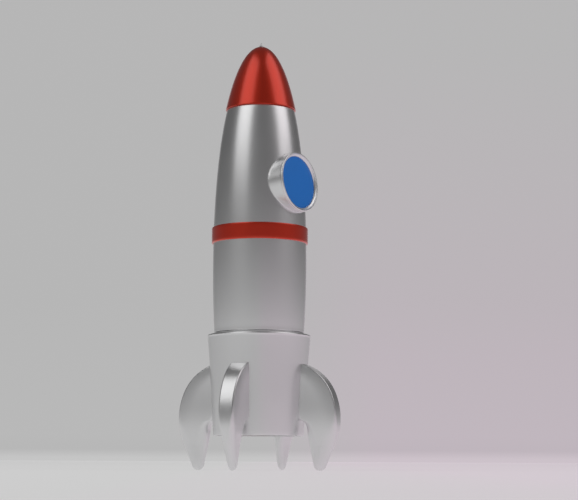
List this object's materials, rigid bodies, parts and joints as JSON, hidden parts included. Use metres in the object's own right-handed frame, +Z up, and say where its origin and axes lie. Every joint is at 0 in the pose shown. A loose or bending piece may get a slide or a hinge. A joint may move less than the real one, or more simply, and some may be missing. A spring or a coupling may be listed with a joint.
{
  "type": "model rocket",
  "caption": "Toy rocket with a tapered silver body, red lift-off nose cone and band, a thick blue porthole, and a tail housing on curved fins that it stands on.",
  "frame": {"origin": "on the floor, on the rocket's axis, between the four feet", "axes": "+Z up along the rocket's axis; the fins lie along +X, +Y, -X and -Y; the porthole faces 15.5 degrees from -Y towards -X"},
  "size_m": [0.117, 0.117, 0.3],
  "materials": {
    "silver_paint": "satin metallic silver paint over moulded plastic",
    "red_paint": "satin metallic red paint over moulded plastic",
    "blue_window": "smooth, opaque blue",
    "grey_plastic": "plain moulded",
    "card": "spiral-wound and die-cut card",
    "steel": "plain zinc-plated",
    "black_rubber": "matt",
    "canopy": "thin ripstop nylon"
  },
  "bodies": {
    "airframe": {"upper_shell": "silver_paint", "neck_sleeve": "grey_plastic", "mid_band": "red_paint", "body_coupler": "card", "lower_shell": "silver_paint", "porthole_collar": "silver_paint", "porthole_nut": "grey_plastic", "porthole_seal": "black_rubber", "porthole_window": "blue_window", "porthole_rim": "silver_paint", "fin_can": "silver_paint", "fin_front": "silver_paint", "fin_right": "silver_paint", "fin_back": "silver_paint", "fin_left": "silver_paint", "motor_tube": "card", "thrust_ring": "card", "hook_collar": "card", "ring_middle": "card", "ring_forward": "card", "tail_plate": "silver_paint", "tail_screws": "steel", "cord_anchor": "steel", "anchor_nut": "steel", "launch_lug": "silver_paint", "parachute": "canopy"},
    "nose": {"nose_cone": "red_paint", "nose_spike": "silver_paint", "nose_shoulder": "grey_plastic", "nose_ballast": "steel", "nose_eye": "steel", "nose_nut": "steel"},
    "motor_hook": {"motor_hook": "steel"}
  },
  "joints": [
    {"name": "nose_lift", "type": "slide", "parent": "airframe", "child": "nose", "axis": [0, 0, 1], "range_m": [0, 0.06]},
    {"name": "hook_flex", "type": "hinge", "parent": "airframe", "child": "motor_hook", "pos_m": [-0.00937, 0.00937, 0.10125], "axis": [0.7071, 0.7071, 0], "range_deg": [0, 3.5], "stiffness_Nm_per_rad": 1.2}
  ]
}
